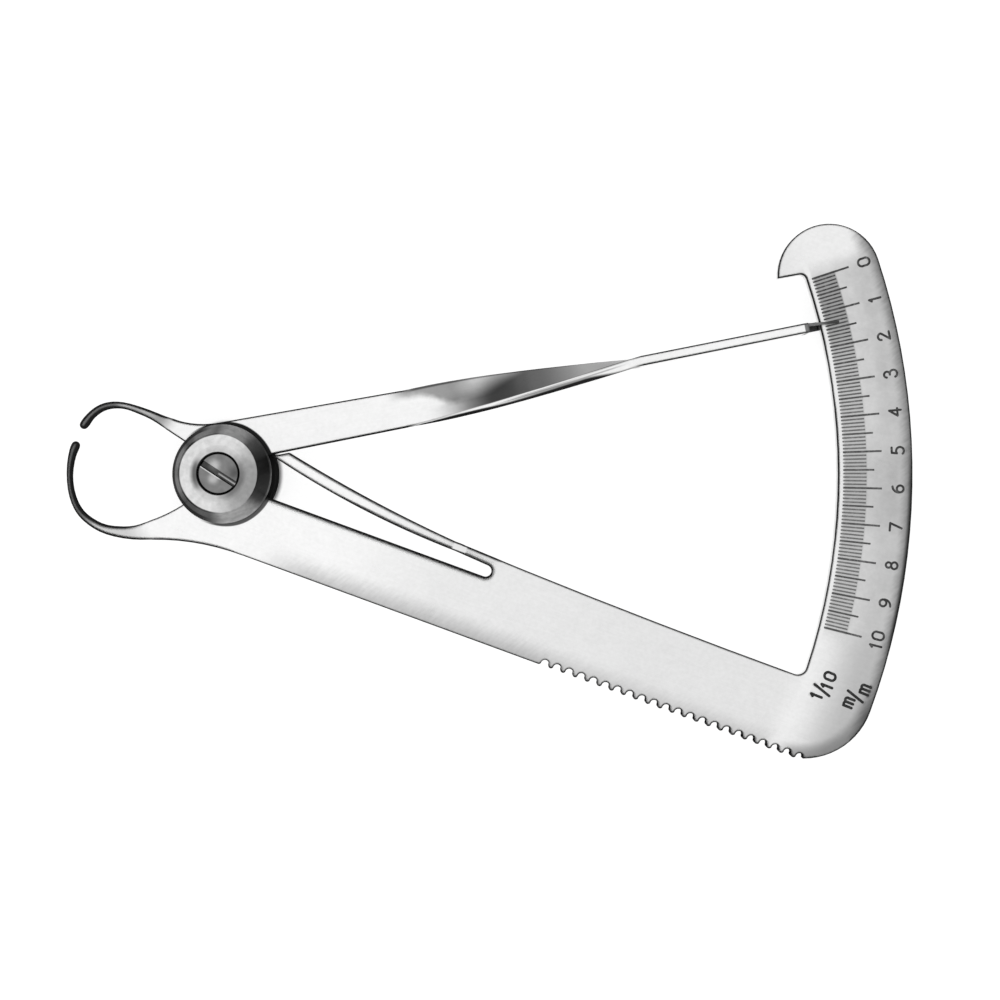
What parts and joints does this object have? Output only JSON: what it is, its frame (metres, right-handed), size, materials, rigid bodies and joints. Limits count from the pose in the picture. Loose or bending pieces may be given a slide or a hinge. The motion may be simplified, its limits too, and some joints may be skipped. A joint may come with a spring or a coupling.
{
  "type": "dental wax caliper",
  "caption": "Hand caliper with a pivoting pointer, curved jaws and a curved scale, for gauging wax or crown thickness.",
  "frame": {"origin": "on the pivot axis, at the outer face of the back disc", "axes": "+Z along the pivot axis towards the front knob and the scale's face, +X from the pivot towards the scale"},
  "size_m": [0.1004, 0.0634, 0.008],
  "materials": {
    "frame_steel": "satin stainless sheet, tumbled edges",
    "pointer_steel": "satin stainless sheet, polished jaws",
    "knob_steel": "turned stainless, fine circular lines",
    "screw_steel": "turned stainless",
    "bush_steel": "turned stainless",
    "scale_paint": "dark grey paint in engraved lines"
  },
  "bodies": {
    "frame": {"scale_frame": "frame_steel", "front_knob": "knob_steel", "back_disc": "knob_steel", "pivot_bush": "bush_steel", "pivot_screw": "screw_steel", "thrust_washer": "bush_steel", "lock_washer": "bush_steel", "tenth_marks": "scale_paint", "half_marks": "scale_paint", "unit_marks": "scale_paint", "scale_numerals": "scale_paint", "unit_label": "scale_paint"},
    "pointer": {"pointer_arm": "pointer_steel"},
    "leaf": {"spring_leaf": "frame_steel"}
  },
  "joints": [
    {"name": "pointer_pivot", "type": "hinge", "parent": "frame", "child": "pointer", "pos_m": [0, 0, 0.0038], "axis": [0, 0, 1], "range_deg": [-28.17, 4.43], "stiffness_Nm_per_rad": 0.2},
    {"name": "leaf_flexure", "type": "hinge", "parent": "frame", "child": "leaf", "pos_m": [0.02754, -0.00856, 0.0038], "axis": [0, 0, 1], "range_deg": [-1.7, 10.5]}
  ],
  "couplings": [
    {"joint": "leaf_flexure", "follows": "pointer_pivot", "ratio": -0.37}
  ]
}
